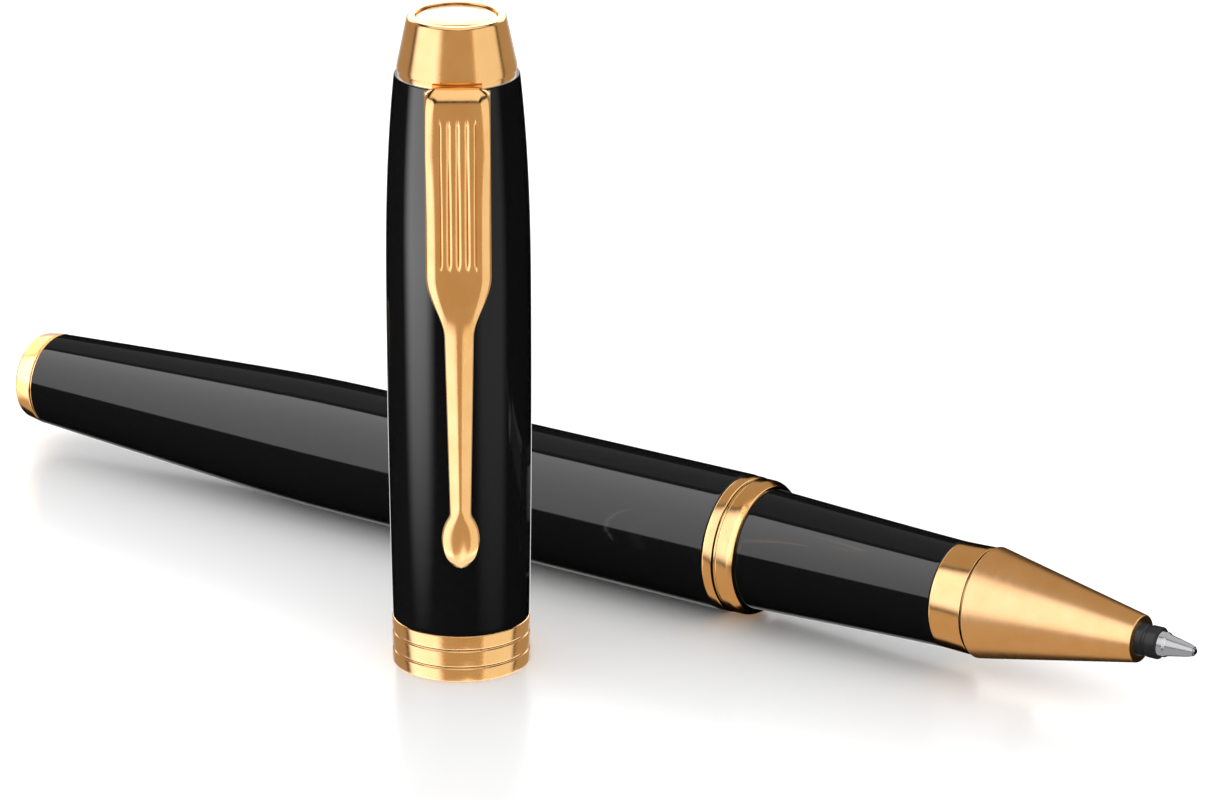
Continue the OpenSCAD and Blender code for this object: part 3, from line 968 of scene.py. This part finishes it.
def softbox(name, only, at, facing, size, radiance, fade, tone=WHITE, low_share=1.0):
    """A rectangular softbox that lights one group alone. It is hidden from the camera.

    fade is the share of the width and of the height over which each pair of edges dims to nothing, and
    low_share is how bright its lower edge is beside its upper one.
    """
    width, height = size
    data = bpy.data.lights.new(name, "AREA")
    data.color = tone
    data.shape = "RECTANGLE"
    data.size, data.size_y = width, height
    data.energy = radiance * math.pi * width * height
    data.use_nodes = True
    dim_edges(data.node_tree, fade, low_share)
    lamp = bpy.data.objects.new(name, data)
    bpy.context.scene.collection.objects.link(lamp)
    lamp.location = at
    lamp.rotation_mode = "QUATERNION"
    lamp.rotation_quaternion = Vector(facing).to_track_quat("-Z", "Y")
    lamp.visible_camera = False
    lamp.light_linking.receiver_collection = only
    lamp.light_linking.blocker_collection = only
    return lamp


def along_pen(name, only, angles, radiance, fade, shift=-0.40, length=1.0, tone=WHITE, low_share=1.0):
    """A softbox parallel to the pen. The angles go round it, from level in front to overhead."""
    distance = 0.45
    pen_middle = 0.062
    end_fade = 0.1
    low, high = angles
    turn = math.radians((low + high) / 2)
    half = math.radians((high - low) / 2)
    out = Vector((0, -math.cos(turn), math.sin(turn)))
    at = PEN.start + Vector((pen_middle + shift, 0, 0)) + out * distance
    size = (length, 2 * distance * math.tan(half))
    softbox(name, only, at, -out, size, radiance, (end_fade, fade), tone, low_share)


def round_cap(name, only, angles, radiance, fade, heights=(-0.42, 0.42), tone=WHITE):
    """An upright softbox beside the cap. The angles go from the camera's side to the right."""
    distance = 0.40
    low, high = angles
    bottom, top = heights
    turn = math.radians((low + high) / 2)
    half = math.radians((high - low) / 2)
    out = TO_CAMERA * math.cos(turn) + TO_RIGHT * math.sin(turn)
    at = CAP.start + out * distance + UP * (bottom + top) / 2
    size = (2 * distance * math.tan(half), top - bottom)
    softbox(name, only, at, -out, size, radiance, fade, tone)


# ---------------------------------------------------------------- studio


def floor():
    """A pale, faintly glossy table top, large enough for every view."""
    mesh = bmesh.new()
    half = 6.0
    pale = (0.9, 0.9, 0.9)
    corners = [mesh.verts.new((x * half, y * half, 0)) for x, y in ((-1, -1), (1, -1), (1, 1), (-1, 1))]
    mesh.faces.new(corners)
    data = bpy.data.meshes.new("floor")
    mesh.to_mesh(data)
    mesh.free()
    material, tree, shader = new_material("pale_table", pale, IOR=1.5)
    roughen(tree, shader, noise(tree, EVEN, scale=0.02), low=0.21, high=0.25)
    data.materials.append(material)
    table = bpy.data.objects.new("floor", data)
    bpy.context.scene.collection.objects.link(table)
    table.visible_glossy = False
    table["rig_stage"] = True
    return table


def world(strength):
    """White all round for matt surfaces. Glossy ones see the softboxes alone."""
    sky = bpy.data.worlds.new("studio")
    bpy.context.scene.world = sky
    sky.use_nodes = True
    background = sky.node_tree.nodes["Background"]
    background.inputs["Color"].default_value = (*WHITE, 1)
    background.inputs["Strength"].default_value = strength
    sky.cycles_visibility.glossy = False


def light_lacquer():
    """Pen: one broad band above the middle, a dim one over it and a glint low down. Cap: a band each side."""
    barrel = group("barrel_dark", lambda p: rides(p, ("barrel",)) and not bright(p))
    section = group("section_dark", lambda p: rides(p, ("section", "refill")) and not bright(p))
    cap = group("cap_dark", lambda p: rides(p, CAP_BODIES) and not bright(p))
    for part, only, low, high in (("barrel", barrel, -2, 97), ("section", section, 3, 82)):
        along_pen(part + "_band", only, (low, high), radiance=2.6, fade=0.03, low_share=0.68)
        along_pen(part + "_top_band", only, (high + 4, 152), radiance=0.17, fade=0.08)
        along_pen(part + "_low_glint", only, (-172, -118), radiance=0.3, fade=0.3)
        along_pen(part + "_far_end", only, (20, 100), radiance=1.6, fade=0.1, shift=1.0, length=1.7)
        along_pen(part + "_far_back", only, (100, 165), radiance=1.6, fade=0.1, shift=1.0, length=1.7)
    round_cap("cap_left_band", cap, (-98, -34), radiance=3.6, fade=(0.35, 0.2), heights=(-0.18, 0.32))
    round_cap("cap_right_band", cap, (22, 86), radiance=0.48, fade=(0.3, 0.2), heights=(-0.21, 0.32))
    round_cap("cap_back_band", cap, (162, 200), radiance=1.6, fade=(0.3, 0.2), heights=(-0.3, 0.32))


def light_pen_gold():
    """A bright side, a dimmer surround and a low glow; the tail's ring and its end are a little brighter."""
    gold_pieces = group("pen_gilt", lambda p: rides(p, PEN_BODIES) and gilt(p))
    tail = group("tail_gilt", lambda p: p.name == "tail_ring_finish")
    along_pen("gilt_band", gold_pieces, (-18, 80), radiance=1.65, fade=0.25, length=1.6, tone=COOL)
    along_pen("gilt_back", gold_pieces, (78, 160), radiance=0.46, fade=0.1, length=1.6, tone=WARM)
    along_pen("gilt_under", gold_pieces, (-100, -16), radiance=0.56, fade=0.1, length=1.6, tone=WARM)
    along_pen("gilt_far_end", gold_pieces, (-20, 90), radiance=1.1, fade=0.1, shift=0.7, length=1.0)
    along_pen("gilt_far_back", gold_pieces, (90, 175), radiance=1.1, fade=0.1, shift=0.7, length=1.0)
    along_pen("tail_glow", tail, (-60, 75), radiance=0.7, fade=0.1, length=1.6, tone=COOL)
    along_pen("tail_back", tail, (75, 165), radiance=0.7, fade=0.1, length=1.6)
    behind_tail = PEN.start - PEN.along * 0.5 + UP * 0.1
    softbox("tail_end_glow", gold_pieces, behind_tail, PEN.along, (1.4, 1.0), radiance=0.9, fade=(0.1, 0.1))


def light_cap_gold():
    """A warm front between a bright left side and a paler right one, a dim back, a top and an underside."""
    only = group("cap_bright", lambda p: rides(p, CAP_BODIES) and bright(p))
    round_cap("cap_gilt_front", only, (-35, 42), radiance=0.55, fade=(0.05, 0.05), tone=WARM)
    round_cap("cap_gilt_left", only, (-99, -28), radiance=1.75, fade=(0.2, 0.05), tone=COOL)
    round_cap("cap_gilt_right", only, (34, 100), radiance=1.0, fade=(0.15, 0.05))
    round_cap("cap_gilt_far_left", only, (-155, -100), radiance=0.44, fade=(0.1, 0.05), tone=WARM)
    round_cap("cap_gilt_far_right", only, (100, 155), radiance=0.46, fade=(0.1, 0.05), tone=WARM)
    round_cap("cap_gilt_back", only, (151, 209), radiance=0.7, fade=(0.1, 0.05))
    above = CAP.start - TO_CAMERA * 0.5 + UP * 0.28
    towards = TO_CAMERA - UP * 0.45
    softbox("cap_gilt_top", only, above, towards, (1.2, 0.36), radiance=1.9, fade=(0.1, 0.15), tone=COOL)
    over = CAP.start + UP * 0.7
    softbox("cap_gilt_over", only, over, -UP, (1.0, 1.0), radiance=1.1, fade=(0.1, 0.1))
    under = CAP.start - UP * 0.06
    softbox("cap_gilt_under", only, under, UP, (0.2, 0.2), radiance=1.3, fade=(0.1, 0.1), tone=COOL)


def light_steel():
    """A bright side over a dimmer one."""
    only = group("pen_steel", lambda p: rides(p, PEN_BODIES) and steely(p))
    along_pen("steel_band", only, (0, 80), radiance=1.1, fade=0.25, length=1.6)
    along_pen("steel_back", only, (80, 165), radiance=0.7, fade=0.1, length=1.6)
    along_pen("steel_under", only, (-110, 0), radiance=0.5, fade=0.1, length=1.6)
    along_pen("steel_far_end", only, (-20, 90), radiance=0.9, fade=0.1, shift=0.7, length=1.0)


def light_table(table):
    """Four white walls that only the table's gloss sees."""
    away, width, height = 1.6, 3.2, 1.6
    only = bpy.data.collections.new("only_table")
    only.objects.link(table)
    for turn in range(4):
        out = TO_CAMERA * math.cos(turn * QUARTER) + TO_RIGHT * math.sin(turn * QUARTER)
        at = out * away + UP * height / 2
        name = "table_wall_%d" % turn
        wall = softbox(name, only, at, -out, (width, height), radiance=2.3, fade=(0.01, 0.01))
        wall.light_linking.blocker_collection = None
        wall.visible_diffuse = False


def studio():
    table = floor()
    world(1.3)
    light_lacquer()
    light_pen_gold()
    light_cap_gold()
    light_steel()
    light_table(table)
    # these would show in the other part's lacquer as loose arcs
    for name in ("cap_band", "centre_ring", "nose_collar", "nose_cone"):
        bpy.data.objects[name + "_finish"].visible_glossy = False
    bpy.context.scene.view_settings.view_transform = "Standard"


camera()
studio()
